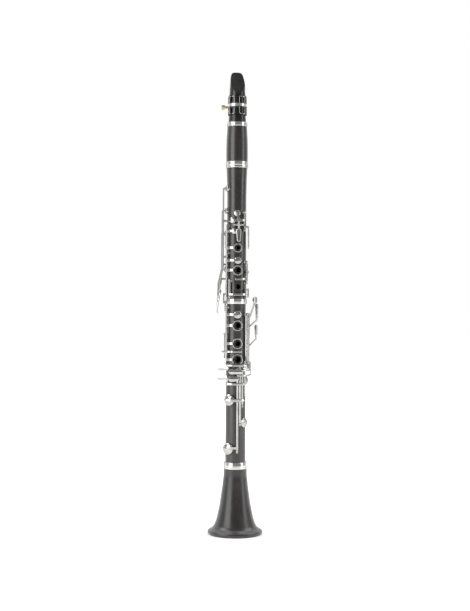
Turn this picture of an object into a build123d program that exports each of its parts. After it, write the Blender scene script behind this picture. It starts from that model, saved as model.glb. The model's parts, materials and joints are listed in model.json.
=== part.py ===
"""Boehm system B flat clarinet: wooden joints, corks, rings and silvered keywork.

Frame: millimetres, +Z up along the bore, origin at the middle of the bell's rim, -Y is the front
with the finger holes. Angles round the bore are in degrees from the front towards +X.
"""

import os
from math import cos, radians, sin, sqrt

from build123d import *

os.makedirs("parts", exist_ok=True)

# Heights of the joints along the bore
bell_top = 105.0
middle_top = 343.0
upper_top = 537.0
barrel_top = 600.0
tip_top = 675.0
reed_top = tip_top - 0.6

# Bore, tenons and sockets
bore_r = 7.4
tenon_r = 11.0
socket_r = 11.6
tenon_length = 17.0
socket_length = 18.0
bell_tenon_r = 12.0
bell_socket_r = 12.6
cork_gap = 0.05

# Wood outlines, radius and height
bell_outline = [
    (14.9, 105), (14.9, 95), (16.8, 94), (17.0, 85), (18.2, 77), (19.0, 68), (20.4, 59), (21.9, 50),
    (22.9, 42), (24.8, 33), (27.0, 23), (30.7, 12.5), (35.0, 8.0), (38.8, 6.2), (40.0, 4.0), (39.9, 1.6),
    (38.6, 0.0),
]
bell_inside = [(36.6, 0), (33.0, 4), (22.0, 15), (16.0, 35), (12.5, 60), (11.2, 86)]
lower_r_bottom = 14.9
lower_r_top = 14.0
upper_r = 14.3

# Keywork
rod_r = 1.0
tube_bore = 1.05
tube_r = 1.7
slim_tube_r = 1.5
hinge_r = 17.8
low_hinge_r = 18.4
post_ball = 1.9
stem_r = 1.2
stem_foot = 12.2
arm_in = 16.7
arm_out = 18.1
over_in = 20.4
over_out = 21.8
pad_height = 2.4
cup_wall = 0.45
cup_top = 1.0
pad_gap = 0.1
ring_low = 15.4
ring_high = 16.6
chimney_top = 16.3
stack_turn = 4.8
touch_thick = 1.6


def wood_r(z):
    """Radius of the turned wood at a height on the two joints."""
    if z < middle_top:
        return lower_r_bottom + (lower_r_top - lower_r_bottom) * (z - bell_top) / (330 - bell_top)
    return upper_r


def station(phi, r, z):
    """Plane that faces outwards at an angle round the bore; its own y is up."""
    a = radians(phi)
    return Plane(origin=(r * sin(a), -r * cos(a), z), x_dir=(cos(a), sin(a), 0), z_dir=(sin(a), -cos(a), 0))


def lane(phi):
    """Plane through the bore at an angle; its x is the distance out and its y is the height."""
    a = radians(phi)
    return Plane(origin=(0, 0, 0), x_dir=(sin(a), -cos(a), 0), z_dir=(-cos(a), -sin(a), 0))


def hinge_axis(phi, r):
    """Line along the bore that a key's hinge rod lies on."""
    a = radians(phi)
    return Axis((r * sin(a), -r * cos(a), 0), (0, 0, 1))


def seat_r(z, cup_r):
    """Distance out of the flat seat milled for a pad."""
    return sqrt(wood_r(z) ** 2 - (cup_r + 0.5) ** 2)


def rod_between(phi, r, z_low, z_high, radius):
    """Round bar along the bore."""
    with BuildPart() as bar:
        with Locations(station(phi, r, z_low)):
            Cylinder(radius, z_high - z_low, rotation=(-90, 0, 0), align=(Align.CENTER, Align.CENTER, Align.MIN))
    return bar.part


def cross_bar(phi, r, z, half_length, radius):
    """Round bar across the bore, square to a lane."""
    with BuildPart() as bar:
        with Locations(station(phi, r, z)):
            Cylinder(radius, 2 * half_length, rotation=(0, 90, 0))
    return bar.part


def curved_arm(z, width, phi_a, phi_b, r_in=arm_in, r_out=arm_out):
    """Flat arm that follows the round of the wood between two angles."""
    low, high = sorted((phi_a, phi_b))
    with BuildPart() as arm:
        with BuildSketch(Plane.XY.offset(z - width / 2)):
            with BuildLine():
                outer = CenterArc((0, 0), r_out, low - 90, high - low)
                inner = CenterArc((0, 0), r_in, low - 90, high - low)
                Line(outer @ 0, inner @ 0)
                Line(outer @ 1, inner @ 1)
            make_face()
        extrude(amount=width)
        fillet(arm.edges().filter_by(GeomType.CIRCLE), 0.35)
    return arm.part


def riser(phi, z, r_low, r_high, radius=2.0):
    """Short round boss that joins an arm to the cup or tube below it."""
    with BuildPart() as boss:
        with Locations(station(phi, r_low, z)):
            Cylinder(radius, r_high - r_low, align=(Align.CENTER, Align.CENTER, Align.MIN))
    return boss.part


def block(phi, z_low, z_high, width, r_low, r_high):
    """Upright web in a lane, between two distances out."""
    with BuildPart() as web:
        with Locations(station(phi, r_low, z_low)):
            Box(width, z_high - z_low, r_high - r_low, align=(Align.CENTER, Align.MIN, Align.MIN))
    return web.part


def lever_bar(phi, points, width, thick=1.5):
    """Bar in a lane through points given as distance out and height."""
    back = [(r + thick, z) for r, z in reversed(points)]
    with BuildPart() as bar:
        with BuildSketch(lane(phi)):
            Polygon(*points, *back, align=None)
        extrude(amount=width / 2, both=True)
    return bar.part


def pad(phi, z, cup_r, seat):
    """Skin covered pad, a plain disc a hair above its seat."""
    with BuildPart() as disc:
        with Locations(station(phi, seat + pad_gap, z)):
            Cylinder(cup_r - cup_wall, pad_height, align=(Align.CENTER, Align.CENTER, Align.MIN))
    return disc.part


def cup(phi, z, cup_r, seat, boss_top=arm_out - 0.2):
    """Pad cup with a rounded back and a boss up to its arm."""
    with BuildPart() as dish:
        with BuildSketch(station(phi, seat + pad_gap + 0.9, z)):
            Circle(cup_r)
        extrude(amount=pad_height + cup_top - 0.9)
        fillet(dish.faces().sort_by(Axis((0, 0, 0), station(phi, 1, 0).z_dir))[-1].edges(), 0.85)
        with BuildSketch(station(phi, seat, z)):
            Circle(cup_r - cup_wall)
        extrude(amount=pad_gap + pad_height, mode=Mode.SUBTRACT)
        with Locations(station(phi, seat + pad_gap + pad_height + 0.2, z)):
            height = boss_top - (seat + pad_gap + pad_height + 0.2)
            Cone(cup_r * 0.55, 1.4, max(height, 1.0), align=(Align.CENTER, Align.CENTER, Align.MIN))
    return dish.part


def ring(phi, z, outer, inner):
    """Finger ring in its pressed place round a raised tone hole."""
    with BuildPart() as hoop:
        with BuildSketch(station(phi, ring_low, z)):
            Circle(outer)
            Circle(inner, mode=Mode.SUBTRACT)
        extrude(amount=ring_high - ring_low)
        fillet(hoop.edges().filter_by(GeomType.CIRCLE), 0.4)
    return hoop.part


def touch(plane, length, width, thick=touch_thick, taper=0.7):
    """Finger touch shaped as a drop, long way up its plane, narrower at its lower end."""
    half = width / 2
    with BuildPart() as plate:
        with BuildSketch(plane):
            with Locations((0, length / 2 - half)):
                Circle(half)
            with Locations((0, -length / 2 + half * taper)):
                Circle(half * taper)
            make_hull()
        extrude(amount=thick)
        fillet(plate.edges().group_by(Axis(plane.origin, plane.z_dir))[-1], 0.5)
    return plate.part


def turned(solid, phi, r, angle):
    """Copy of a solid turned about a hinge along the bore."""
    return solid.rotate(hinge_axis(phi, r), angle)


def free(plane_x, plane_y, z, phi):
    """Plane at a given place that faces an angle round the bore."""
    a = radians(phi)
    return Plane(origin=(plane_x, plane_y, z), x_dir=(cos(a), sin(a), 0), z_dir=(sin(a), -cos(a), 0))


def keep(solid, name):
    """Label a finished piece and write it."""
    solid.label = name
    export_step(solid, f"parts/{name}.step")


# Tone holes: angle, height, hole radius, chimney radius
ring_holes_upper = [(0, 416.8, 2.9, 3.8), (0, 384.3, 3.6, 4.5)]
ring_holes_lower = [(0, 304.2, 4.0, 5.0), (0, 278.0, 4.0, 5.0), (0, 254.7, 4.6, 5.6)]
third_hole = (0, 360.4, 3.7, 5.0)

# Pads: angle, height, cup radius
pads_upper = {
    "a": (-7, 467, 4.8), "g_sharp": (-30, 456.7, 4.4), "first_ring": (-20, 441, 4.3),
    "second_ring": (0, 398.6, 5.4), "side_4": (-71, 503, 4.4), "side_3": (-82, 471, 4.4),
    "side_2": (-93, 438, 4.4), "side_1": (-105, 386, 4.4), "upper_sliver": (95, 382, 4.4),
    "c_sharp_g_sharp": (-88, 360, 4.8),
}
pads_lower = {
    "lower_ring": (0, 320, 5.9), "lower_sliver": (-112, 280, 4.8), "a_flat_e_flat": (69, 224.3, 6.2),
    "f_c": (-49, 196, 8.5), "f_sharp_c_sharp": (45, 163, 7.2), "e_b": (-53, 125, 8.6),
}
seats = {name: seat_r(z, r) for name, (phi, z, r) in {**pads_upper, **pads_lower}.items()}
rest_z = 289.0
rest_seat = 14.0
register_z = 515.0
register_seat = 15.2
thumb_z = 430.0

# Hinge rods along the bore: angle, distance out, lower post, upper post
hinges_upper = {
    "left_stack_high": (-61, hinge_r, 409.5, 449.0), "left_stack_low": (-61, hinge_r, 345.4, 409.5),
    "g_sharp": (34.6, hinge_r, 442.8, 468.2), "upper_sliver": (48.6, hinge_r, 366.3, 396.2),
    "c_sharp_g_sharp": (-43, hinge_r, 345.4, 369.0), "thumb_ring": (-128, hinge_r, 419.8, 442.2),
}
hinges_lower = {
    "right_stack": (-61, hinge_r, 249.8, 330.5), "lower_sliver": (-78, hinge_r, 258.6, 290.4),
    "e_b": (-1, low_hinge_r, 121.8, 239.6), "f_sharp_c_sharp": (10.5, low_hinge_r, 161.0, 242.9),
    "f_c": (22, low_hinge_r, 188.0, 246.1), "a_flat_e_flat": (35, low_hinge_r, 204.0, 250.2),
    "left_f_c": (55, low_hinge_r, 246.0, 320.2), "left_f_sharp": (68, low_hinge_r, 246.0, 320.2),
    "left_e_b": (81, low_hinge_r, 246.0, 320.2),
}
# Rocking levers: angle, distance out, height, half the distance between the posts
rockers = {
    "a": (0, hinge_r, 450, 6.0), "register": (180, 18.5, 468, 5.0), "side_4": (-71, hinge_r, 456, 3.2),
    "side_3": (-82, hinge_r, 404, 3.2), "side_2": (-93, hinge_r, 393, 3.2), "side_1": (-105, hinge_r, 372, 3.2),
}


def post_places(hinges):
    """Angle, distance out and height of each different post of a set of hinge rods."""
    return sorted({(phi, r, z) for phi, r, low, high in hinges.values() for z in (low, high)})


def post_holes(places):
    """Sockets that the posts' stems are screwed into."""
    for phi, r, z in places:
        with Locations(station(phi, stem_foot, z)):
            Cylinder(stem_r, 8, align=(Align.CENTER, Align.CENTER, Align.MIN), mode=Mode.SUBTRACT)


def posts(places, cross=()):
    """Ball headed posts with a hole through each ball for its rod."""
    with BuildPart() as group:
        for phi, r, z in places:
            with Locations(station(phi, stem_foot, z)):
                Cylinder(stem_r, r - stem_foot, align=(Align.CENTER, Align.CENTER, Align.MIN))
            with Locations(station(phi, r, z)):
                Sphere(post_ball)
            with Locations(station(phi, r, z)):
                Cylinder(rod_r, 6, rotation=(90, 0, 0), mode=Mode.SUBTRACT)
        for (phi, r, z, half) in cross:
            for side in (-1, 1):
                plane = station(phi, 0, z)
                across = plane.x_dir * (side * half)
                foot = free(across.X, across.Y, z, phi).offset(stem_foot)
                with Locations(foot):
                    Cylinder(stem_r, r - stem_foot, align=(Align.CENTER, Align.CENTER, Align.MIN))
                with Locations(foot.offset(r - stem_foot)):
                    Sphere(1.6)
                with Locations(foot.offset(r - stem_foot)):
                    Cylinder(rod_r * 0.75, 6, rotation=(0, 90, 0), mode=Mode.SUBTRACT)
    return group.part


def rocker_holes(cross):
    """Sockets for the posts of the rocking levers."""
    for (phi, r, z, half) in cross:
        for side in (-1, 1):
            across = station(phi, 0, z).x_dir * (side * half)
            with Locations(free(across.X, across.Y, z, phi).offset(stem_foot)):
                Cylinder(stem_r, 8, align=(Align.CENTER, Align.CENTER, Align.MIN), mode=Mode.SUBTRACT)


def tone_holes(holes, top=chimney_top):
    """Raised tone holes under the finger rings."""
    for phi, z, hole, chimney in holes:
        with Locations(station(phi, 11, z)):
            Cylinder(chimney, top - 11, align=(Align.CENTER, Align.CENTER, Align.MIN))
        with Locations(station(phi, 0, z)):
            Cylinder(hole, 20, align=(Align.CENTER, Align.CENTER, Align.MIN), mode=Mode.SUBTRACT)


def pad_seats(pads):
    """Flats milled in the wood under the pads, each with its tone hole."""
    for name, (phi, z, cup_r) in pads.items():
        with Locations(station(phi, seats[name], z)):
            Cylinder(cup_r + 0.5, 8, align=(Align.CENTER, Align.CENTER, Align.MIN), mode=Mode.SUBTRACT)
        with Locations(station(phi, 0, z)):
            Cylinder(cup_r * 0.6, 20, align=(Align.CENTER, Align.CENTER, Align.MIN), mode=Mode.SUBTRACT)


# Bell, its ring and the wooden joints, each turned about the bore
with BuildPart() as bell:
    with BuildSketch(Plane.XZ):
        with BuildLine():
            Polyline((bell_socket_r, bell_top), bell_outline[0], bell_outline[1], bell_outline[2])
            flare = Spline(*bell_outline[2:12])
            rim = Spline(*bell_outline[11:], tangents=[flare % 1, (-1, -0.6)])
            Line(rim @ 1, bell_inside[0])
            throat = Spline(*bell_inside)
            Line(throat @ 1, (bell_socket_r, bell_inside[-1][1]))
            Line((bell_socket_r, bell_inside[-1][1]), (bell_socket_r, bell_top))
        make_face()
    revolve(axis=Axis.Z)
keep(bell.part, "bell")

with BuildPart() as bell_ring:
    with BuildSketch(Plane.XZ):
        with Locations((15.65, 100)):
            Rectangle(1.5, 10)
        with Locations((16.3, 97.6)):
            Circle(0.6)
    revolve(axis=Axis.Z)
    fillet(bell_ring.edges().filter_by(GeomType.CIRCLE).group_by(Axis.Z)[-1].sort_by(SortBy.RADIUS)[-1], 0.6)
keep(bell_ring.part, "bell_ring")

with BuildPart() as lower_joint:
    with BuildSketch(Plane.XZ):
        Polygon(
            (bore_r, 86.5), (bell_tenon_r, 86.5), (bell_tenon_r, bell_top), (wood_r(105), bell_top),
            (wood_r(330), 330), (14.1, 335.5), (13.8, 335.5), (13.8, middle_top), (socket_r, middle_top),
            (socket_r, middle_top - socket_length), (bore_r, middle_top - socket_length), align=None)
    revolve(axis=Axis.Z)
    tone_holes(ring_holes_lower)
    pad_seats(pads_lower)
    post_holes(post_places(hinges_lower))
    with Locations(station(180, rest_seat, rest_z)):
        Box(12, 29, 5, align=(Align.CENTER, Align.CENTER, Align.MIN), mode=Mode.SUBTRACT)
    Cylinder(bore_r, 400, align=(Align.CENTER, Align.CENTER, Align.MIN), mode=Mode.SUBTRACT)
    with Locations((0, 0, 86.5)):
        Cone(10.8, bore_r, 60, align=(Align.CENTER, Align.CENTER, Align.MIN), mode=Mode.SUBTRACT)
keep(lower_joint.part, "lower_joint")

with BuildPart() as upper_joint:
    with BuildSketch(Plane.XZ):
        Polygon(
            (bore_r, middle_top - tenon_length), (tenon_r, middle_top - tenon_length),
            (tenon_r, middle_top), (14.7, middle_top), (upper_r, 400), (13.9, 487), (14.4, 515), (15.0, 531),
            (15.0, 533.6), (14.4, 533.6), (14.4, upper_top), (tenon_r, upper_top),
            (tenon_r, upper_top + tenon_length), (bore_r, upper_top + tenon_length), align=None)
    revolve(axis=Axis.Z)
    tone_holes(ring_holes_upper)
    tone_holes([third_hole], 15.2)
    pad_seats(pads_upper)
    post_holes(post_places(hinges_upper))
    rocker_holes(rockers.values())
    with Locations(station(180, 5, thumb_z)):
        Cylinder(4.1, 20, align=(Align.CENTER, Align.CENTER, Align.MIN), mode=Mode.SUBTRACT)
    with Locations(station(180, 5, register_z)):
        Cylinder(2.4, 20, align=(Align.CENTER, Align.CENTER, Align.MIN), mode=Mode.SUBTRACT)
    with Locations((0, 0, 300)):
        Cylinder(bore_r, 400, align=(Align.CENTER, Align.CENTER, Align.MIN), mode=Mode.SUBTRACT)
keep(upper_joint.part, "upper_joint")

with BuildPart() as barrel:
    with BuildSketch(Plane.XZ):
        with BuildLine():
            Polyline((socket_r, upper_top), (14.4, upper_top), (14.4, 542.7), (15.6, 543.2))
            swell = Spline((15.6, 543.2), (15.8, 560), (15.4, 575), (14.6, 589), (14.3, 594.3))
            Polyline(swell @ 1, (13.3, 594.3), (13.3, barrel_top), (socket_r, barrel_top),
                     (socket_r, 582.5), (bore_r, 582.5), (bore_r, 555.5), (socket_r, 555.5),
                     (socket_r, upper_top))
        make_face()
    revolve(axis=Axis.Z)
keep(barrel.part, "barrel")


def body_ring(r_in, r_out, z_low, z_high):
    """Silvered ring pressed on the end of a joint, with rounded outer corners."""
    with BuildPart() as band:
        with BuildSketch(Plane.XZ):
            with Locations(((r_in + r_out) / 2, (z_low + z_high) / 2)):
                Rectangle(r_out - r_in, z_high - z_low)
            fillet(vertices().group_by(Axis.X)[-1], 0.6)
        revolve(axis=Axis.Z)
    return band.part


keep(body_ring(13.8, 15.6, 335.5, middle_top), "lower_joint_ring")
keep(body_ring(14.4, 16.1, 533.6, upper_top), "upper_joint_ring")
with BuildPart() as barrel_rings:
    add(body_ring(14.4, 16.1, upper_top, 542.7))
    add(body_ring(13.3, 14.6, 594.3, barrel_top))
keep(barrel_rings.part, "barrel_rings")

# Cork round each tenon: two on the upper joint, one on the lower joint, one on the mouthpiece
with BuildPart() as tenon_corks:
    for inner, outer, low in ((bell_tenon_r, bell_socket_r, 88.5), (tenon_r, socket_r, 328),
                              (tenon_r, socket_r, 539.5)):
        with BuildSketch(Plane.XY.offset(low)):
            Circle(outer - cork_gap)
            Circle(inner, mode=Mode.SUBTRACT)
        extrude(amount=12.5)
keep(tenon_corks.part, "tenon_corks")
with BuildPart() as mouthpiece_cork:
    with BuildSketch(Plane.XY.offset(585.5)):
        Circle(socket_r - cork_gap)
        Circle(tenon_r, mode=Mode.SUBTRACT)
    extrude(amount=12.5)
keep(mouthpiece_cork.part, "mouthpiece_cork")

# Mouthpiece: turned body cut to the beak, the flat table at the back and the window under the reed
table_y = 8.0
with BuildPart() as mouthpiece:
    with BuildSketch(Plane.XZ):
        Polygon(
            (bore_r, 584), (tenon_r, 584), (tenon_r, barrel_top), (12.4, barrel_top), (12.8, 601), (12.7, 606),
            (12.3, 610), (11.9, 640), (11.4, 646), (11.4, tip_top), (0, tip_top), (0, 632), (bore_r, 620),
            align=None)
    revolve(axis=Axis.Z)
    with BuildSketch(Plane.YZ):
        Polygon((-20, 570), (20, 570), (20, 604), (table_y, 606), (table_y, tip_top), (table_y - 0.6, tip_top),
                (0.4, 663.7), (-6.6, 651.2), (-12.2, 641.5), (-20, 639), align=None)
    extrude(amount=20, both=True, mode=Mode.INTERSECT)
    with BuildSketch(Plane.XZ):
        with BuildLine():
            side = Spline((11.9, 641), (11.1, 651), (10.2, 661), (9.1, 668.5), (6.6, 673.7), (0, tip_top),
                          tangents=[(0, 1), (-1, 0)])
            Polyline((0, tip_top), (0, 570), (15, 570), (15, 641), (11.9, 641))
        make_face()
        mirror(about=Plane.YZ)
    extrude(amount=20, both=True, mode=Mode.INTERSECT)
    with BuildSketch(Plane.YZ):
        Polygon((table_y + 1, 640), (table_y + 1, 672.5), (6.6, 672.5), (2.6, 664), (-3.5, 651.5), (-5.0, 640),
                (-5.0, 626), (2, 624), (4, 632), align=None)
    extrude(amount=5.2, both=True, mode=Mode.SUBTRACT)
keep(mouthpiece.part, "mouthpiece")

with BuildPart() as reed:
    with BuildSketch(Plane.YZ):
        Polygon((table_y, 606.5), (table_y + 2.8, 606.5), (table_y + 2.8, 642), (table_y + 0.9, 661),
                (table_y + 0.15, reed_top), (table_y, reed_top), align=None)
    extrude(amount=6.6, both=True)
    with BuildSketch(Plane.XZ):
        with BuildLine():
            Polyline((5.7, 606.5), (6.5, 668))
            tip = Spline((6.5, 668), (5.5, 672.4), (0, reed_top), tangents=[(0, 1), (-1, 0)])
            Polyline((0, reed_top), (0, 606.5), (5.7, 606.5))
        make_face()
        mirror(about=Plane.YZ)
    extrude(amount=20, both=True, mode=Mode.INTERSECT)
keep(reed.part, "reed")

# Ligature: sheet band with tall windows, a tension strip, and a cross screw behind the reed
lig_low, lig_high = 610.5, 638.5
lig_screw_z = 625.0
lig_screw_y = 17.6
with BuildPart() as ligature_band:
    with BuildSketch(Plane.XZ):
        Polygon((13.0, lig_low), (13.9, lig_low), (13.3, lig_high), (12.5, lig_high), align=None)
    revolve(axis=Axis.Z)
    for z in (616.6, 632.5):
        with Locations((0, 0, z)):
            with PolarLocations(13, 9, start_angle=-90):
                Box(6, 5.4, 7.0, mode=Mode.SUBTRACT)
    with Locations((0, 0, 622.2)):
        Cylinder(14.1, 5.2, align=(Align.CENTER, Align.CENTER, Align.MIN))
        Cylinder(13.05, 5.2, align=(Align.CENTER, Align.CENTER, Align.MIN), mode=Mode.SUBTRACT)
    for x in (-5.0, 5.0):
        with Locations((x, 12.6, lig_screw_z)):
            Box(2.4, 7.4, 8.0, align=(Align.CENTER, Align.MIN, Align.CENTER))
        with Locations((x, lig_screw_y, lig_screw_z)):
            Cylinder(1.55, 4, rotation=(0, 90, 0), mode=Mode.SUBTRACT)
keep(ligature_band.part, "ligature_band")

with BuildPart() as ligature_screw:
    with Locations((-12.6, lig_screw_y, lig_screw_z)):
        Cylinder(1.5, 20, rotation=(0, 90, 0), align=(Align.CENTER, Align.CENTER, Align.MIN))
    with Locations((-21.0, lig_screw_y, lig_screw_z)):
        Cylinder(4.5, 4.6, rotation=(0, 90, 0), align=(Align.CENTER, Align.CENTER, Align.MIN))
        Cylinder(2.6, 9.0, rotation=(0, 90, 0), align=(Align.CENTER, Align.CENTER, Align.MIN))
keep(ligature_screw.part, "ligature_screw")

# Metal tubes set in the wood at the back
with BuildPart() as register_tube:
    with BuildSketch(station(180, 6.0, register_z)):
        Circle(2.4)
        Circle(1.5, mode=Mode.SUBTRACT)
    extrude(amount=register_seat - 6.0)
keep(register_tube.part, "register_tube")
with BuildPart() as thumb_bush:
    with BuildSketch(station(180, 7.6, thumb_z)):
        Circle(4.1)
        Circle(3.4, mode=Mode.SUBTRACT)
    extrude(amount=chimney_top - 7.6)
keep(thumb_bush.part, "thumb_bush")

# Thumb rest: a plate on the back of the lower joint with a curved hook for the right thumb
with BuildPart() as thumb_rest:
    with BuildSketch(station(180, rest_seat, rest_z)):
        RectangleRounded(11, 28, 4)
    extrude(amount=1.6)
    with BuildSketch(lane(180)):
        with BuildLine():
            hook = ThreePointArc((15.6, rest_z - 2), (24, rest_z + 3), (31, rest_z - 1))
            outer_hook = ThreePointArc((15.6, rest_z + 1), (24, rest_z + 5.4), (32, rest_z + 1))
            Line(hook @ 0, outer_hook @ 0)
            Line(hook @ 1, outer_hook @ 1)
        make_face()
    extrude(amount=7, both=True)
    with Locations(station(180, rest_seat, rest_z - 9), station(180, rest_seat, rest_z + 10)):
        Cylinder(1.5, 4, align=(Align.CENTER, Align.CENTER, Align.MIN), mode=Mode.SUBTRACT)
keep(thumb_rest.part, "thumb_rest")
with BuildPart() as thumb_rest_screws:
    for z in (rest_z - 9, rest_z + 10):
        with Locations(station(180, rest_seat, z)):
            Cylinder(1.5, 1.7, align=(Align.CENTER, Align.CENTER, Align.MIN))
        with Locations(station(180, rest_seat + 1.6, z)):
            Cylinder(2.4, 0.9, align=(Align.CENTER, Align.CENTER, Align.MIN))
keep(thumb_rest_screws.part, "thumb_rest_screws")

# Posts, hinge rods and the wire springs that lie under the hinge tubes
with BuildPart() as upper_posts:
    add(posts(post_places(hinges_upper), rockers.values()))
keep(upper_posts.part, "upper_posts")
with BuildPart() as lower_posts:
    add(posts(post_places(hinges_lower)))
keep(lower_posts.part, "lower_posts")
with BuildPart() as hinge_rods:
    for name, (phi, r, low, high) in {**hinges_upper, **hinges_lower}.items():
        start = low if name == "left_stack_high" else low - post_ball - 0.2
        add(rod_between(phi, r, start, high + (0 if name == "left_stack_low" else post_ball + 0.2), rod_r))
    for phi, r, z, half in rockers.values():
        add(cross_bar(phi, r, z, half + 1.2, rod_r * 0.75))
keep(hinge_rods.part, "hinge_rods")
with BuildPart() as needle_springs:
    for phi, r, low, high in [*hinges_upper.values(), *hinges_lower.values()]:
        add(rod_between(phi, r - 2.35, low + stem_r, low + 14, 0.25))
keep(needle_springs.part, "needle_springs")


def tube(name, z_low, z_high, radius=tube_r):
    """Hinge tube of a key on its rod."""
    phi, r, low, high = {**hinges_upper, **hinges_lower}[name]
    add(rod_between(phi, r, z_low, z_high, radius))


def bored(name, solid):
    """The key with the running bore for its rod drilled through its tube."""
    phi, r, low, high = {**hinges_upper, **hinges_lower}[name]
    return solid - rod_between(phi, r, low - 3, high + 3, tube_bore)


def key_cup(name, boss_top=arm_out - 0.2):
    """Pad cup of a key, in its closed place."""
    phi, z, cup_r = {**pads_upper, **pads_lower}[name]
    add(cup(phi, z, cup_r, seats[name], boss_top))


def key_pad(name, hinge=None, angle=0.0):
    """Write the pad of a key, turned to its open place where the key rests open."""
    phi, z, cup_r = {**pads_upper, **pads_lower}[name]
    disc = pad(phi, z, cup_r, seats[name])
    if hinge:
        disc = turned(disc, *{**hinges_upper, **hinges_lower}[hinge][:2], angle)
    keep(disc, f"{name}_pad")


# Ring keys of the left hand: the first ring with its pad, and the second ring with its pad
with BuildPart() as first_ring_key:
    tube("left_stack_high", 411.8, 446.8)
    add(ring(0, 416.8, 6.7, 5.0))
    add(curved_arm(416.8, 4, -61, -21))
    key_cup("first_ring")
    add(curved_arm(441, 3.6, -61, -20))
stack_at = hinges_upper["left_stack_high"][:2]
keep(turned(bored("left_stack_high", first_ring_key.part), *stack_at, -stack_turn), "first_ring_key")
key_pad("first_ring", "left_stack_high", -stack_turn)

with BuildPart() as second_ring_key:
    tube("left_stack_low", 347.8, 407.2)
    add(ring(0, 384.3, 7.6, 5.7))
    add(curved_arm(384.3, 4, -61, -24))
    key_cup("second_ring")
    add(curved_arm(398.6, 3.8, -61, 0))
    add(curved_arm(349.4, 3.0, -80, -61))
    add(block(-78, 336, 350.9, 3.4, 19.2, 20.6))
    add(block(-78, 348, 350.9, 3.4, 16.9, 20.0))
keep(turned(bored("left_stack_low", second_ring_key.part), *stack_at, -stack_turn), "second_ring_key")
key_pad("second_ring", "left_stack_low", -stack_turn)

# Ring key of the right hand: three rings and a pad on one long tube, with the bridge lug at the top
with BuildPart() as lower_ring_key:
    tube("right_stack", 252.0, 328.3)
    for z, outer, inner in ((304.2, 7.9, 6.1), (278.0, 7.8, 6.1), (254.7, 8.2, 6.8)):
        add(ring(0, z, outer, inner))
        add(curved_arm(z, 4, -61, -26))
    key_cup("lower_ring")
    add(curved_arm(320, 4, -61, 0))
    add(curved_arm(326.6, 3.2, -80, -61))
    add(block(-78, 325, 340, 3.4, 16.9, 18.3))
keep(turned(bored("right_stack", lower_ring_key.part), *hinges_lower["right_stack"][:2], -stack_turn),
     "lower_ring_key")
key_pad("lower_ring", "right_stack", -stack_turn)

# Thumb ring at the back
thumb_turn = 4.9
with BuildPart() as thumb_ring_key:
    tube("thumb_ring", 422.2, 439.8)
    add(ring(180, thumb_z, 7.5, 5.4))
    add(curved_arm(thumb_z, 4, -128, -156))
thumb_at = hinges_upper["thumb_ring"][:2]
keep(turned(bored("thumb_ring", thumb_ring_key.part), *thumb_at, thumb_turn), "thumb_ring_key")

# Rocking levers: a tube across, a web up to the bar, a cup at one end and a touch at the other


def rocker_tube(name, length):
    """Tube of a rocking lever with the web that carries its bar."""
    phi, r, z, half = rockers[name]
    add(cross_bar(phi, r, z, length / 2, 1.5))


def rocker_bored(name, solid):
    """The rocking lever drilled for its cross rod."""
    phi, r, z, half = rockers[name]
    return solid - cross_bar(phi, r, z, half + 3, rod_r * 0.75 + 0.05)


with BuildPart() as a_key:
    rocker_tube("a", 7.6)
    add(lever_bar(0, [(19.9, 432), (19.9, 450), (19.9, 460)], 3.0))
    add(block(0, 448.4, 451.6, 3.0, 17.8, 20.2))
    add(lever_bar(-3.5, [(19.9, 458), (19.9, 467)], 3.2))
    add(touch(free(0, -19.9, 434.8, 0), 19.5, 7.6))
    key_cup("a", 20.4)
keep(rocker_bored("a", a_key.part), "a_key")
key_pad("a")

with BuildPart() as register_key:
    rocker_tube("register", 5.6)
    add(lever_bar(180, [(20.3, 443), (20.3, 514)], 3.4))
    add(block(180, 466.4, 469.6, 3.4, 18.5, 20.6))
    add(touch(station(180, 20.3, 448), 17, 9.0))
    add(cup(180, register_z, 3.7, register_seat, 21.0))
keep(rocker_bored("register", register_key.part), "register_key")
keep(pad(180, register_z, 3.7, register_seat), "register_pad")

# Side keys: outer distance and height of each bend of the bars, and the height of each touch
side_bars = {
    "side_4": ([(26.8, 352), (26.2, 366), (21.3, 389), (21.3, 503)], 352.5),
    "side_3": ([(26.8, 343), (26.2, 366), (21.3, 388), (21.3, 471)], 343.7),
    "side_2": ([(26.8, 335), (26.2, 366), (21.3, 386), (21.3, 438)], 334.9),
    "side_1": ([(26.8, 326), (25.6, 352), (21.3, 368), (21.3, 386)], 326.2),
}
for name, (points, touch_z) in side_bars.items():
    phi, r, z, half = rockers[name]
    with BuildPart() as side_key:
        rocker_tube(name, 3.0)
        add(lever_bar(phi, points, 2.4, 1.4))
        add(block(phi, z - 1.6, z + 1.6, 2.4, r, 21.6))
        at = station(phi, 26.8, touch_z).origin
        add(touch(free(at.X, at.Y, touch_z, phi + 28), 8.4, 4.8, taper=0.85))
        key_cup(name, 21.8)
    keep(rocker_bored(name, side_key.part), f"{name}_key")
    key_pad(name)

# Keys on the right of the upper joint and the two sliver keys
with BuildPart() as g_sharp_key:
    tube("g_sharp", 445.0, 466.0)
    key_cup("g_sharp")
    add(curved_arm(456.7, 3.4, -30, 34.6))
    add(curved_arm(447.5, 3.4, 34.6, 66))
    add(block(67, 436, 449.2, 3.4, 16.9, 18.3))
    add(touch(station(69, 17.2, 431), 31, 6.4))
keep(bored("g_sharp", g_sharp_key.part), "g_sharp_key")
key_pad("g_sharp")

with BuildPart() as upper_sliver_key:
    tube("upper_sliver", 368.6, 394.0)
    key_cup("upper_sliver")
    add(curved_arm(382, 3.4, 48.6, 95))
    add(curved_arm(371.6, 3.2, -14, 48.6, 17.0, 18.4))
keep(bored("upper_sliver", upper_sliver_key.part), "upper_sliver_key")
key_pad("upper_sliver")

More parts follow.
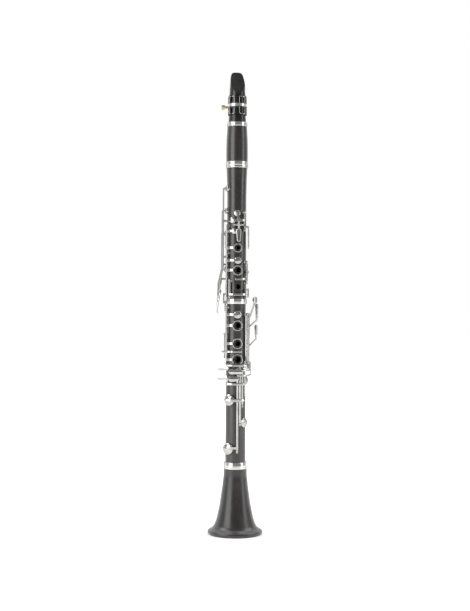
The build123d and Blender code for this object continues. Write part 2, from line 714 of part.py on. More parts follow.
with BuildPart() as c_sharp_g_sharp_key:
    tube("c_sharp_g_sharp", 347.6, 366.8)
    key_cup("c_sharp_g_sharp", over_out - 0.3)
    add(curved_arm(360, 3.6, -88, -43, over_in - 0.2, over_out - 0.3))
    add(riser(-43, 360, hinge_r, over_out - 0.3, 1.7))
    add(curved_arm(349.2, 3.2, -43, 46, 17.9, 19.4))
    add(touch(station(50, 18.7, 351.4), 13.5, 9.0, 1.8))
keep(bored("c_sharp_g_sharp", c_sharp_g_sharp_key.part), "c_sharp_g_sharp_key")
key_pad("c_sharp_g_sharp")

with BuildPart() as lower_sliver_key:
    tube("lower_sliver", 260.8, 288.2)
    key_cup("lower_sliver")
    add(curved_arm(280, 3.4, -112, -78))
    add(riser(-78, 266.2, hinge_r, 22.2, 1.6))
    add(curved_arm(266.2, 3.2, -78, -38, 20.9, 22.2))
    add(block(-37, 264.7, 267.7, 3.0, 18.4, 22.2))
    add(curved_arm(266.2, 3.0, -38, 17, 18.4, 19.8))
keep(bored("lower_sliver", lower_sliver_key.part), "lower_sliver_key")
key_pad("lower_sliver")

# Lugs at the top of the long tubes, which the left hand levers lift
lug_heights = {"e_b": 231.9, "f_sharp_c_sharp": 239.2, "f_c": 242.4}
lug_reach = 46
lug_in = 20.9
lug_out = 22.2


def lug(name):
    """Curved lug from a long tube to the right, over its neighbours."""
    phi, r, low, high = hinges_lower[name]
    add(riser(phi, lug_heights[name], r, lug_out, 1.3))
    add(curved_arm(lug_heights[name], 2.4, phi, lug_reach, lug_in, lug_out))


def pinky_touch(centre_x, centre_y, z, phi, length, width):
    """Touch for the little finger, long way across."""
    facing = free(centre_x, centre_y, z, phi).z_dir
    return touch(Plane((centre_x, centre_y, z), x_dir=(0, 0, 1), z_dir=facing), length, width, 1.8, 0.8)


e_b_turn, f_c_turn = 8.7, 6.7
with BuildPart() as e_b_closed:
    key_cup("e_b", 17.9)
    add(curved_arm(126.8, 4.2, -53, -1, arm_in, arm_out + 0.2))
with BuildPart() as e_b_key:
    tube("e_b", 124.0, 237.4, slim_tube_r)
    add(turned(e_b_closed.part, *hinges_lower["e_b"][:2], e_b_turn))
    lug("e_b")
    add(riser(-1, 227.0, low_hinge_r, 22.4, 1.8))
    add(pinky_touch(-6.6, -21.4, 227.0, -6, 15.5, 8.6))
keep(bored("e_b", e_b_key.part), "e_b_key")
key_pad("e_b", "e_b", e_b_turn)

with BuildPart() as f_sharp_key:
    tube("f_sharp_c_sharp", 163.2, 240.6, slim_tube_r)
    key_cup("f_sharp_c_sharp", 17.9)
    add(curved_arm(165.4, 4.2, 10.5, 45, arm_in, arm_out + 0.2))
    lug("f_sharp_c_sharp")
    add(riser(10.5, 236.0, low_hinge_r, 22.6, 1.3))
    add(pinky_touch(-3.6, -21.6, 237.3, -4, 20.5, 7.6))
keep(bored("f_sharp_c_sharp", f_sharp_key.part), "f_sharp_c_sharp_key")
key_pad("f_sharp_c_sharp")

with BuildPart() as f_c_closed:
    key_cup("f_c", 21.0)
    add(curved_arm(196, 4.2, -49, 22, over_in, over_out))
    add(riser(22, 196, low_hinge_r, over_out, 1.5))
with BuildPart() as f_c_key:
    tube("f_c", 190.2, 243.8, slim_tube_r)
    add(turned(f_c_closed.part, *hinges_lower["f_c"][:2], f_c_turn))
    lug("f_c")
    add(riser(22, 219.4, low_hinge_r, 22.8, 1.5))
    add(curved_arm(219.4, 3.4, -46, 22, 21.3, 22.9))
    add(block(-45, 217.7, 229, 4.0, 21.3, 22.9))
    add(pinky_touch(-21.9, -11.5, 229.6, -35, 18.2, 10.0))
keep(bored("f_c", f_c_key.part), "f_c_key")
key_pad("f_c", "f_c", f_c_turn)

with BuildPart() as a_flat_key:
    tube("a_flat_e_flat", 206.2, 248.0, slim_tube_r)
    key_cup("a_flat_e_flat")
    add(curved_arm(224.3, 4.0, 35, 69, arm_in, arm_out + 0.3))
    add(riser(35, 246.3, low_hinge_r, 22.8, 1.4))
    add(curved_arm(246.3, 2.6, -44, 35, 21.4, 22.9))
    add(pinky_touch(-20.8, -12.3, 242.6, -35, 19.6, 8.6))
keep(bored("a_flat_e_flat", a_flat_key.part), "a_flat_e_flat_key")
key_pad("a_flat_e_flat")

# Left hand levers: a tip under its lug, a strip past the lower posts, a tube, an arm and a touch
tip_in = 19.0
tip_out = 20.3
levers = {
    "left_f_c": ("f_c", 306.0, (25.6, -11.4, 341.0, 36), 10.5, 10.0),
    "left_f_sharp": ("f_sharp_c_sharp", 301.0, (28.6, -9.6, 323.0, 24), 26.0, 5.6),
    "left_e_b": ("e_b", 273.0, (28.6, -4.6, 294.0, 28), 23.0, 5.8),
}
for name, (lifts, arm_z, (x, y, z, facing), length, width) in levers.items():
    phi, r, low, high = hinges_lower[name]
    tip_z = lug_heights[lifts]
    with BuildPart() as lever:
        tube(name, 248.2, 318.0)
        add(curved_arm(tip_z, 2.2, 41.5, phi + 2, tip_in, tip_out))
        add(block(phi, tip_z - 1.1, tip_z + 1.1, 2.6, tip_in, 22.0))
        add(block(phi, tip_z - 1.1, 251.0, 2.6, 20.6, 22.0))
        add(block(phi, 249.0, 251.6, 2.6, r, 22.0))
        plane = free(x, y, z, facing)
        foot = station(phi, r, arm_z).origin
        head = plane.origin + Vector(0, 0, arm_z - z if abs(arm_z - z) < length / 2 else -length / 2 + 2)
        with BuildLine():
            route = Line(foot, head - plane.z_dir * 0.2)
        with BuildSketch(Plane(origin=foot, z_dir=route % 0)):
            Circle(1.35)
        sweep(path=route)
        add(touch(plane, length, width))
    keep(bored(name, lever.part), f"{name}_lever")
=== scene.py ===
"""Boehm clarinet of oiled blackwood with silvered keys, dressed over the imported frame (metres, +Z up)."""

import json
from math import cos, hypot, pi, radians, sin

import bmesh
import bpy
from mathutils import Matrix, Vector


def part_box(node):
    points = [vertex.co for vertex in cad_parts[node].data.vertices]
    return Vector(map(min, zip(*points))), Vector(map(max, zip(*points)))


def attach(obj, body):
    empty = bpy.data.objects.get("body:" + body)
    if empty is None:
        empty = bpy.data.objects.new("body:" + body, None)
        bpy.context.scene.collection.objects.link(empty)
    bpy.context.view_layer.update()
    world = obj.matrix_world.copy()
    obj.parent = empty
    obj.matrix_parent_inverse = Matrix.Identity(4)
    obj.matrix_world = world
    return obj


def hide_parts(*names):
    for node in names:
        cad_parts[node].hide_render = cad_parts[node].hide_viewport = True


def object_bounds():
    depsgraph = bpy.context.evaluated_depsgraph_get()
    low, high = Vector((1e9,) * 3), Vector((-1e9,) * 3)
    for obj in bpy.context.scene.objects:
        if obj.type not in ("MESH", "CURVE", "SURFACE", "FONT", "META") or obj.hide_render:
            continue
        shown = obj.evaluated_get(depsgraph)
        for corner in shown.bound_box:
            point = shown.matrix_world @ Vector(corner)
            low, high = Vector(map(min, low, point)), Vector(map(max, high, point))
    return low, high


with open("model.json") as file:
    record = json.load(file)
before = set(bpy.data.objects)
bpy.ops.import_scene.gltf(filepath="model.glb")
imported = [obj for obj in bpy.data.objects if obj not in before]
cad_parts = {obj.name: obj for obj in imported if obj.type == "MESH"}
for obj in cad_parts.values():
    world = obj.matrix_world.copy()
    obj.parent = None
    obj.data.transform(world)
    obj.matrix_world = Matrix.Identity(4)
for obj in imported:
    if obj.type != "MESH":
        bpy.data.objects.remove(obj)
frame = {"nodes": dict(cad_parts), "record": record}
cad_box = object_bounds()

# ---------------------------------------------------------------- Camera
# A long lens level with the middle of the instrument, a little to its right hand side,
# with the faint lean of a hand-set stand.
MM = 0.001
instrument_height = cad_box[1].z
stand_off = 1.80
turn_left = radians(-9.0)
lens_mm = 72.6
aim = Vector((-0.00175, 0.0, instrument_height * 0.4936))
camera = bpy.data.objects.new("camera", bpy.data.cameras.new("camera"))
camera.data.lens = lens_mm
camera.data.sensor_width = 36.0
back_off = Vector((sin(turn_left), -cos(turn_left), 0.0))
camera.location = aim + back_off * stand_off
camera.rotation_mode = "QUATERNION"
level = (-back_off).to_track_quat("-Z", "Y")
camera.rotation_quaternion = level @ Matrix.Rotation(radians(0.34), 3, "Z").to_quaternion()
bpy.context.scene.collection.objects.link(camera)
bpy.context.scene.camera = camera


# ---------------------------------------------------------------- Studio
# A pale open floor that fades to white on every side, tall soft boxes whose long reflections
# run down the wood, and bright air behind in place of a wall, so that it is clear all round.
def new_material(name):
    """A material with its Principled shader."""
    made = bpy.data.materials.new(name)
    made.use_nodes = True
    return made, made.node_tree.nodes["Principled BSDF"]


def add_node(tree, kind, **values):
    """New node with some of its inputs or properties set by name."""
    made = tree.nodes.new(kind)
    for label, value in values.items():
        socket = label.replace("_", " ").title()
        if socket in made.inputs:
            made.inputs[socket].default_value = value
        else:
            setattr(made, label, value)
    return made


def mesh_object(name, bm, material):
    """Turn a finished bmesh into an object at the origin."""
    data = bpy.data.meshes.new(name)
    for face in bm.faces:
        face.smooth = True
    bm.to_mesh(data)
    bm.free()
    data.materials.append(material)
    made = bpy.data.objects.new(name, data)
    bpy.context.scene.collection.objects.link(made)
    return made


floor_material, floor_shader = new_material("studio_floor")
floor_shader.inputs["Base Color"].default_value = (0.86, 0.86, 0.85, 1.0)
floor_shader.inputs["Roughness"].default_value = 0.9
floor_shader.inputs["Emission Color"].default_value = (1.0, 1.0, 1.0, 1.0)
floor_radius, fade_start, fade_end, shade_glow = 12.0, 0.30, 1.50, 0.32
floor_drop = 0.0002
floor_tree = floor_material.node_tree
floor_place = add_node(floor_tree, "ShaderNodeTexCoord")
floor_reach = add_node(floor_tree, "ShaderNodeVectorMath", operation="LENGTH")
floor_fade = add_node(floor_tree, "ShaderNodeMapRange", interpolation_type="SMOOTHSTEP",
                      from_min=fade_start, from_max=fade_end)
floor_ray = add_node(floor_tree, "ShaderNodeLightPath")
floor_seen = add_node(floor_tree, "ShaderNodeMath", operation="MULTIPLY")
floor_glow = add_node(floor_tree, "ShaderNodeMath", operation="MAXIMUM")
floor_glow.inputs[1].default_value = shade_glow
for source, target in ((floor_place.outputs["Object"], floor_reach.inputs[0]),
                       (floor_reach.outputs["Value"], floor_fade.inputs["Value"]),
                       (floor_fade.outputs["Result"], floor_seen.inputs[0]),
                       (floor_ray.outputs["Is Camera Ray"], floor_seen.inputs[1]),
                       (floor_seen.outputs["Value"], floor_glow.inputs[0]),
                       (floor_glow.outputs["Value"], floor_shader.inputs["Emission Strength"])):
    floor_tree.links.new(source, target)
ground = bmesh.new()
bmesh.ops.create_circle(ground, cap_ends=True, segments=96, radius=floor_radius,
                        matrix=Matrix.Translation((0.0, 0.0, -floor_drop)))
floor = mesh_object("studio_floor", ground, floor_material)


def soft_box(name, place, target, width, height, power):
    """Tall rectangular studio light that looks at a point."""
    light = bpy.data.lights.new(name, "AREA")
    light.shape = "RECTANGLE"
    light.size, light.size_y, light.energy = width, height, power
    lamp = bpy.data.objects.new(name, light)
    lamp.location = place
    lamp.rotation_mode = "QUATERNION"
    lamp.rotation_quaternion = (Vector(target) - Vector(place)).to_track_quat("-Z", "Y")
    bpy.context.scene.collection.objects.link(lamp)


middle = (0.0, 0.0, instrument_height / 2)
soft_box("key_light", (-1.6, -1.0, 0.62), middle, 1.25, 1.9, 15.5)
soft_box("rim_light", (1.45, -0.75, 0.6), middle, 0.55, 1.8, 5.2)
soft_box("top_light", (0.0, 0.55, 2.5), (0.0, 0.3, 0.0), 2.0, 1.4, 14.0)
soft_box("back_light_left", (-1.5, 0.2, 2.0), (-0.2, 1.6, 0.7), 1.2, 1.2, 15.0)
soft_box("back_light_right", (1.5, 0.2, 2.0), (0.2, 1.6, 0.7), 1.2, 1.2, 15.0)
world = bpy.data.worlds.new("studio_air")
world.use_nodes = True
air = world.node_tree
air.nodes["Background"].inputs["Color"].default_value = (1.0, 1.0, 1.0, 1.0)
air_place = add_node(air, "ShaderNodeTexCoord")
air_split = add_node(air, "ShaderNodeSeparateXYZ")
air_tone = add_node(air, "ShaderNodeMapRange", from_min=-1.0, from_max=0.2, to_min=0.22, to_max=0.46)
air_back = add_node(air, "ShaderNodeMapRange", from_min=0.25, from_max=0.45)
air_ray = add_node(air, "ShaderNodeLightPath")
air_seen = add_node(air, "ShaderNodeMath", operation="MAXIMUM")
air_bright = add_node(air, "ShaderNodeMath", operation="MAXIMUM")
for source, target in ((air_place.outputs["Generated"], air_split.inputs["Vector"]),
                       (air_split.outputs["Y"], air_tone.inputs["Value"]),
                       (air_split.outputs["Y"], air_back.inputs["Value"]),
                       (air_ray.outputs["Is Camera Ray"], air_seen.inputs[0]),
                       (air_tone.outputs["Result"], air_seen.inputs[1]),
                       (air_seen.outputs["Value"], air_bright.inputs[0]),
                       (air_back.outputs["Result"], air_bright.inputs[1]),
                       (air_bright.outputs["Value"], air.nodes["Background"].inputs["Strength"])):
    air.links.new(source, target)
bpy.context.scene.world = world
bpy.context.scene.view_settings.view_transform = "Standard"


# ---------------------------------------------------------------- Wooden joints
# Two turned sticks of oiled African blackwood, bored through, with raised finger holes and
# milled pad seats. The pores and the faint brown streaks run up the stick.
def shader_group(name, inputs, outputs):
    """Empty shader node group with named sockets, and its input and output nodes."""
    tree = bpy.data.node_groups.new(name, "ShaderNodeTree")
    for label, kind, value in inputs:
        tree.interface.new_socket(label, in_out="INPUT", socket_type=kind).default_value = value
    for label, kind in outputs:
        tree.interface.new_socket(label, in_out="OUTPUT", socket_type=kind)
    return tree, tree.nodes.new("NodeGroupInput"), tree.nodes.new("NodeGroupOutput")


def ramp(tree, source, stops):
    """Colour ramp through (place, colour) stops."""
    made = tree.nodes.new("ShaderNodeValToRGB")
    while len(made.color_ramp.elements) < len(stops):
        made.color_ramp.elements.new(0.5)
    for element, (place, colour) in zip(made.color_ramp.elements, stops):
        element.position = place
        element.color = (*colour, 1.0)
    tree.links.new(source, made.inputs["Fac"])
    return made.outputs["Color"]


def grain_group():
    """Pores and streaks drawn out along the bore: a colour, a roughness and a height."""
    tree, take, give = shader_group("stick_grain", [
        ("Dark", "NodeSocketColor", (0.010, 0.008, 0.008, 1)),
        ("Streak", "NodeSocketColor", (0.03, 0.02, 0.015, 1)),
        ("Pores", "NodeSocketFloat", 900.0), ("Streaks", "NodeSocketFloat", 120.0),
        ("Smooth", "NodeSocketFloat", 0.26), ("Rough", "NodeSocketFloat", 0.42)],
        [("Colour", "NodeSocketColor"), ("Roughness", "NodeSocketFloat"), ("Height", "NodeSocketFloat")])
    links = tree.links
    where = tree.nodes.new("ShaderNodeTexCoord").outputs["Object"]
    drawn = add_node(tree, "ShaderNodeMapping")
    drawn.inputs["Scale"].default_value = (1.0, 1.0, 0.035)
    links.new(where, drawn.inputs["Vector"])
    pores = add_node(tree, "ShaderNodeTexNoise", detail=3.0, roughness=0.65)
    streaks = add_node(tree, "ShaderNodeTexNoise", detail=5.0, roughness=0.6, distortion=0.4)
    clouds = add_node(tree, "ShaderNodeTexNoise", scale=26.0, detail=3.0)
    links.new(where, clouds.inputs["Vector"])
    for noise, label in ((pores, "Pores"), (streaks, "Streaks")):
        links.new(drawn.outputs["Vector"], noise.inputs["Vector"])
        links.new(take.outputs[label], noise.inputs["Scale"])
    band = ramp(tree, streaks.outputs["Fac"], [(0.46, (0, 0, 0)), (0.72, (1, 1, 1))])
    colour = add_node(tree, "ShaderNodeMix", data_type="RGBA")
    links.new(band, colour.inputs["Factor"])
    links.new(take.outputs["Dark"], colour.inputs["A"])
    links.new(take.outputs["Streak"], colour.inputs["B"])
    pits = ramp(tree, pores.outputs["Fac"], [(0.34, (0, 0, 0)), (0.46, (1, 1, 1))])
    links.new(colour.outputs["Result"], give.inputs["Colour"])
    spread = add_node(tree, "ShaderNodeMapRange")
    links.new(clouds.outputs["Fac"], spread.inputs["Value"])
    spread.inputs["From Min"].default_value = 0.3
    spread.inputs["From Max"].default_value = 0.7
    links.new(take.outputs["Smooth"], spread.inputs["To Min"])
    links.new(take.outputs["Rough"], spread.inputs["To Max"])
    links.new(spread.outputs["Result"], give.inputs["Roughness"])
    links.new(pits, give.inputs["Height"])
    return tree


stick_grain = grain_group()


def dressed(name, group, values, depth, metallic=0.0, coat=0.0, edge=1.0, ior=1.5):
    """Material whose colour, roughness and bump come from a shared group with its own values."""
    made, shader = new_material(name)
    tree = made.node_tree
    effect = tree.nodes.new("ShaderNodeGroup")
    effect.node_tree = group
    for label, value in values.items():
        effect.inputs[label].default_value = value
    bump = tree.nodes.new("ShaderNodeBump")
    bump.inputs["Strength"].default_value = depth
    bump.inputs["Distance"].default_value = 0.0001
    tree.links.new(effect.outputs["Colour"], shader.inputs["Base Color"])
    tree.links.new(effect.outputs["Roughness"], shader.inputs["Roughness"])
    tree.links.new(effect.outputs["Height"], bump.inputs["Height"])
    tree.links.new(bump.outputs["Normal"], shader.inputs["Normal"])
    shader.inputs["Metallic"].default_value = metallic
    shader.inputs["Coat Weight"].default_value = coat
    shader.inputs["Coat Roughness"].default_value = 0.18
    shader.inputs["Specular Tint"].default_value = (edge, edge, edge, 1.0)
    shader.inputs["IOR"].default_value = ior
    return made


joint_wood = dressed("joint_blackwood", stick_grain, {
    "Dark": (0.0085, 0.0068, 0.0066, 1), "Streak": (0.026, 0.017, 0.013, 1), "Pores": 1100.0,
    "Streaks": 150.0, "Smooth": 0.25, "Rough": 0.38}, 0.25, coat=0.5, ior=1.68)


def carry(node, material):
    """Give a CAD node that keeps its own shape a better material."""
    shown = frame["nodes"][node]
    shown.data.materials.clear()
    shown.data.materials.append(material)


for node in ("lower_joint", "upper_joint"):
    carry(node, joint_wood)


# ---------------------------------------------------------------- Bell
# The flared foot, turned from one block: a concave flare to a rounded rim, hollowed to match,
# with the socket for the lower joint at the top.
def through(points, steps=8):
    """Smooth line through a few turned stations, as distance out and height."""
    line = []
    for i in range(len(points) - 1):
        before = points[max(i - 1, 0)]
        a, b = points[i], points[i + 1]
        after = points[min(i + 2, len(points) - 1)]
        for s in range(steps):
            t = s / steps
            weights = (-t ** 3 + 2 * t ** 2 - t, 3 * t ** 3 - 5 * t ** 2 + 2,
                       -3 * t ** 3 + 4 * t ** 2 + t, t ** 3 - t ** 2)
            near = (before, a, b, after)
            line.append(tuple(sum(w * p[k] for w, p in zip(weights, near)) / 2 for k in (0, 1)))
    return line + [points[-1]]


def lathe(name, outline_mm, material, body, node, sides=160):
    """Close an outline round the bore and make it stand for its CAD node."""
    bm = bmesh.new()
    loops = [[bm.verts.new((r * MM * sin(2 * pi * i / sides), -r * MM * cos(2 * pi * i / sides), z * MM))
              for i in range(sides)] for r, z in outline_mm]
    for a, b in zip(loops, loops[1:] + loops[:1]):
        for i in range(sides):
            j = (i + 1) % sides
            bm.faces.new((a[i], a[j], b[j], b[i]))
    bmesh.ops.recalc_face_normals(bm, faces=bm.faces)
    made = mesh_object(name, bm, material)
    made.data.set_sharp_from_angle(angle=radians(38))
    if node:
        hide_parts(node)
    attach(made, body)


bell_wood = dressed("bell_blackwood", stick_grain, {
    "Dark": (0.0085, 0.0068, 0.0066, 1), "Streak": (0.03, 0.02, 0.015, 1), "Pores": 1000.0, "Streaks": 95.0,
    "Smooth": 0.27, "Rough": 0.42}, 0.25, coat=0.4, ior=1.68)
flare = through([(16.8, 94), (17.0, 85), (18.0, 77), (19.0, 68), (20.3, 59), (21.6, 50), (23.0, 41),
                 (24.8, 32.5), (27.4, 21.5), (30.7, 12.8)], 7)
rim = through([(30.7, 12.8), (33.6, 9.2), (37.2, 7.0), (39.3, 5.6), (40.0, 3.6), (39.7, 1.4), (38.6, 0.1)], 6)
hollow = through([(36.7, 0.0), (33.0, 4.0), (27.0, 9.0), (22.0, 15.0), (18.2, 25.0), (16.0, 35.0),
                  (13.9, 47.0), (12.5, 60.0), (11.7, 73.0), (11.2, 86.0)], 5)
bell_line = [(12.6, 105), (14.9, 105), (14.9, 95), (16.3, 95), (16.8, 94.6)] + flare + rim[1:]
bell_line += [(38.2, 0.0)] + hollow + [(12.6, 86.0)]
lathe("bell_shell", bell_line, bell_wood, "body", "bell", 220)


# ---------------------------------------------------------------- Silvered rings
# Turned rings pressed on the ends of the joints so that the sockets don't split: one on the
# bell with a bead, one on the lower joint, and a pair that meet under the barrel.
def silver_group():
    """Polished silver that has been handled: faint clouds of tarnish and fine wiping marks."""
    tree, take, give = shader_group("handled_silver", [
        ("Bright", "NodeSocketColor", (0.86, 0.855, 0.84, 1)),
        ("Dull", "NodeSocketColor", (0.66, 0.645, 0.61, 1)),
        ("Clouds", "NodeSocketFloat", 70.0), ("Marks", "NodeSocketFloat", 900.0),
        ("Smooth", "NodeSocketFloat", 0.10), ("Rough", "NodeSocketFloat", 0.26)],
        [("Colour", "NodeSocketColor"), ("Roughness", "NodeSocketFloat"), ("Height", "NodeSocketFloat")])
    links = tree.links
    where = tree.nodes.new("ShaderNodeTexCoord").outputs["Object"]
    clouds = add_node(tree, "ShaderNodeTexNoise", detail=6.0, roughness=0.62)
    marks = add_node(tree, "ShaderNodeTexNoise", detail=2.0, roughness=0.5)
    wiped = add_node(tree, "ShaderNodeMapping")
    wiped.inputs["Scale"].default_value = (1.0, 1.0, 0.18)
    links.new(where, wiped.inputs["Vector"])
    links.new(where, clouds.inputs["Vector"])
    links.new(wiped.outputs["Vector"], marks.inputs["Vector"])
    links.new(take.outputs["Clouds"], clouds.inputs["Scale"])
    links.new(take.outputs["Marks"], marks.inputs["Scale"])
    mask = ramp(tree, clouds.outputs["Fac"], [(0.40, (0, 0, 0)), (0.78, (1, 1, 1))])
    colour = add_node(tree, "ShaderNodeMix", data_type="RGBA")
    links.new(mask, colour.inputs["Factor"])
    links.new(take.outputs["Bright"], colour.inputs["A"])
    links.new(take.outputs["Dull"], colour.inputs["B"])
    links.new(colour.outputs["Result"], give.inputs["Colour"])
    spread = add_node(tree, "ShaderNodeMapRange")
    links.new(clouds.outputs["Fac"], spread.inputs["Value"])
    spread.inputs["From Min"].default_value = 0.3
    spread.inputs["From Max"].default_value = 0.75
    links.new(take.outputs["Smooth"], spread.inputs["To Min"])
    links.new(take.outputs["Rough"], spread.inputs["To Max"])
    links.new(spread.outputs["Result"], give.inputs["Roughness"])
    links.new(marks.outputs["Fac"], give.inputs["Height"])
    return tree


handled_silver = silver_group()
ring_silver = dressed("ring_silver", handled_silver, {"Smooth": 0.10, "Rough": 0.2}, 0.05, metallic=1.0,
                      edge=0.4)


def rounded_band(r_in, r_out, low, high, edge=0.55):
    """Outline of a ring with rounded outer corners."""
    line = [(r_in, low), (r_out - edge, low)]
    line += [(r_out - edge + edge * sin(a), low + edge - edge * cos(a)) for a in (pi / 6, pi / 3, pi / 2)]
    line += [(r_out - edge + edge * cos(a), high - edge + edge * sin(a)) for a in (0, pi / 6, pi / 3, pi / 2)]
    return line + [(r_in, high)]


lathe("lower_joint_band", rounded_band(13.8, 15.6, 335.5, 343.0), ring_silver, "body",
      "lower_joint_ring")
lathe("upper_joint_band", rounded_band(14.4, 16.1, 533.6, 537.0), ring_silver, "body",
      "upper_joint_ring")
bead = [(16.4 + 0.5 * sin(a), 97.6 - 0.6 * cos(a)) for a in [pi * k / 6 for k in range(7)]]
bell_band = [(14.9, 95.0), (16.0, 95.0), (16.4, 95.4)] + bead
bell_band += [(16.4, 104.4), (16.2, 104.8), (15.8, 105), (14.9, 105)]
lathe("bell_band", bell_band, ring_silver, "body", "bell_ring")
lathe("barrel_low_band", rounded_band(14.4, 16.1, 537.0, 542.7), ring_silver, "head",
      "barrel_rings")
lathe("barrel_top_band", rounded_band(13.3, 14.6, 594.3, 600.0), ring_silver, "head", None)


# ---------------------------------------------------------------- Barrel and corks
# The barrel is the short swelling tube between the mouthpiece and the upper joint; it draws out
# on the greased corks to tune, so the sheet cork round each tenon shows only then.
barrel_wood = dressed("barrel_blackwood", stick_grain, {
    "Dark": (0.009, 0.0072, 0.0068, 1), "Streak": (0.032, 0.020, 0.015, 1), "Pores": 1000.0, "Streaks": 170.0,
    "Smooth": 0.24, "Rough": 0.36}, 0.25, coat=0.55, ior=1.68)
swell = through([(15.6, 543.4), (15.8, 552), (15.75, 562), (15.4, 575), (14.6, 589), (14.3, 594.0)], 6)
barrel_line = [(11.6, 537), (14.4, 537), (14.4, 542.7), (15.2, 542.8)] + swell
barrel_line += [(14.1, 594.3), (13.3, 594.3), (13.3, 600), (11.6, 600), (11.6, 582.5), (7.4, 582.5),
                (7.4, 555.5), (11.6, 555.5)]
lathe("barrel_shell", barrel_line, barrel_wood, "head", "barrel")


def cork_group():
    """Sheet cork: cells of two sizes with a few dark pits."""
    tree, take, give = shader_group("sheet_cork", [
        ("Pale", "NodeSocketColor", (0.52, 0.33, 0.18, 1)), ("Pit", "NodeSocketColor", (0.16, 0.08, 0.04, 1)),
        ("Cells", "NodeSocketFloat", 1400.0)],
        [("Colour", "NodeSocketColor"), ("Roughness", "NodeSocketFloat"), ("Height", "NodeSocketFloat")])
    links = tree.links
    where = tree.nodes.new("ShaderNodeTexCoord").outputs["Object"]
    cells = add_node(tree, "ShaderNodeTexVoronoi")
    links.new(where, cells.inputs["Vector"])
    links.new(take.outputs["Cells"], cells.inputs["Scale"])
    pits = add_node(tree, "ShaderNodeTexNoise", scale=420.0, detail=4.0)
    links.new(where, pits.inputs["Vector"])
    mask = ramp(tree, pits.outputs["Fac"], [(0.56, (0, 0, 0)), (0.64, (1, 1, 1))])
    colour = add_node(tree, "ShaderNodeMix", data_type="RGBA")
    links.new(mask, colour.inputs["Factor"])
    links.new(take.outputs["Pale"], colour.inputs["A"])
    links.new(take.outputs["Pit"], colour.inputs["B"])
    links.new(colour.outputs["Result"], give.inputs["Colour"])
    rough = ramp(tree, cells.outputs["Distance"], [(0.0, (0.62, 0.62, 0.62)), (1.0, (0.9, 0.9, 0.9))])
    links.new(rough, give.inputs["Roughness"])
    links.new(cells.outputs["Distance"], give.inputs["Height"])
    return tree


cork = dressed("greased_cork", cork_group(), {"Cells": 1400.0}, 0.5)
for node in ("tenon_corks", "mouthpiece_cork"):
    carry(node, cork)


# ---------------------------------------------------------------- Mouthpiece
# Polished hard rubber, turned, then cut away to a beak in front and a flat table behind. Its
# edges are buffed round, so a softened copy of the hard shape stands for it.
def rubber_group():
    """Hard rubber: near black with a slight warm bloom and fine buffing marks."""
    tree, take, give = shader_group("hard_rubber", [
        ("Black", "NodeSocketColor", (0.007, 0.007, 0.0075, 1)),
        ("Bloom", "NodeSocketColor", (0.022, 0.02, 0.017, 1)),
        ("Patches", "NodeSocketFloat", 60.0), ("Smooth", "NodeSocketFloat", 0.12),
        ("Rough", "NodeSocketFloat", 0.24)],
        [("Colour", "NodeSocketColor"), ("Roughness", "NodeSocketFloat"), ("Height", "NodeSocketFloat")])
    links = tree.links
    where = tree.nodes.new("ShaderNodeTexCoord").outputs["Object"]
    patches = add_node(tree, "ShaderNodeTexNoise", detail=5.0)
    buffing = add_node(tree, "ShaderNodeTexNoise", scale=1500.0, detail=1.0)
    links.new(where, patches.inputs["Vector"])
    links.new(where, buffing.inputs["Vector"])
    links.new(take.outputs["Patches"], patches.inputs["Scale"])
    colour = add_node(tree, "ShaderNodeMix", data_type="RGBA")
    mask = ramp(tree, patches.outputs["Fac"], [(0.42, (0, 0, 0)), (0.8, (1, 1, 1))])
    links.new(mask, colour.inputs["Factor"])
    links.new(take.outputs["Black"], colour.inputs["A"])
    links.new(take.outputs["Bloom"], colour.inputs["B"])
    links.new(colour.outputs["Result"], give.inputs["Colour"])
    spread = add_node(tree, "ShaderNodeMapRange")
    links.new(patches.outputs["Fac"], spread.inputs["Value"])
    links.new(take.outputs["Smooth"], spread.inputs["To Min"])
    links.new(take.outputs["Rough"], spread.inputs["To Max"])
    links.new(spread.outputs["Result"], give.inputs["Roughness"])
    links.new(buffing.outputs["Fac"], give.inputs["Height"])
    return tree


def apply_all(made):
    """Replace an object's mesh by the result of its modifiers and remove them."""
    bpy.context.view_layer.update()
    graph = bpy.context.evaluated_depsgraph_get()
    result = bpy.data.meshes.new_from_object(made.evaluated_get(graph))
    made.modifiers.clear()
    made.data = result


weld = 0.000002


def softened(node, name, material, body, grid, rounds=4, thin=1.0):
    """Copy of a CAD node with its hard edges worn round, as buffing leaves them."""
    bm = bmesh.new()
    bm.from_mesh(frame["nodes"][node].data)
    bmesh.ops.remove_doubles(bm, verts=bm.verts, dist=weld)
    made = mesh_object(name, bm, material)
    remesh = made.modifiers.new("grid", "REMESH")
    remesh.mode = "VOXEL"
    remesh.voxel_size = grid * MM
    remesh.use_smooth_shade = True
    buff = made.modifiers.new("buff", "SMOOTH")
    buff.factor = 0.5
    buff.iterations = rounds
    if thin < 1.0:
        fewer = made.modifiers.new("fewer", "DECIMATE")
        fewer.ratio = thin
    apply_all(made)
    made.data.materials.clear()
    made.data.materials.append(material)
    for face in made.data.polygons:
        face.use_smooth = True
    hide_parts(node)
    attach(made, body)
    return made


ebonite = dressed("polished_ebonite", rubber_group(), {"Smooth": 0.10, "Rough": 0.22}, 0.03, coat=0.3)
softened("mouthpiece", "mouthpiece_body", ebonite, "head", 0.34, 3, 0.6)


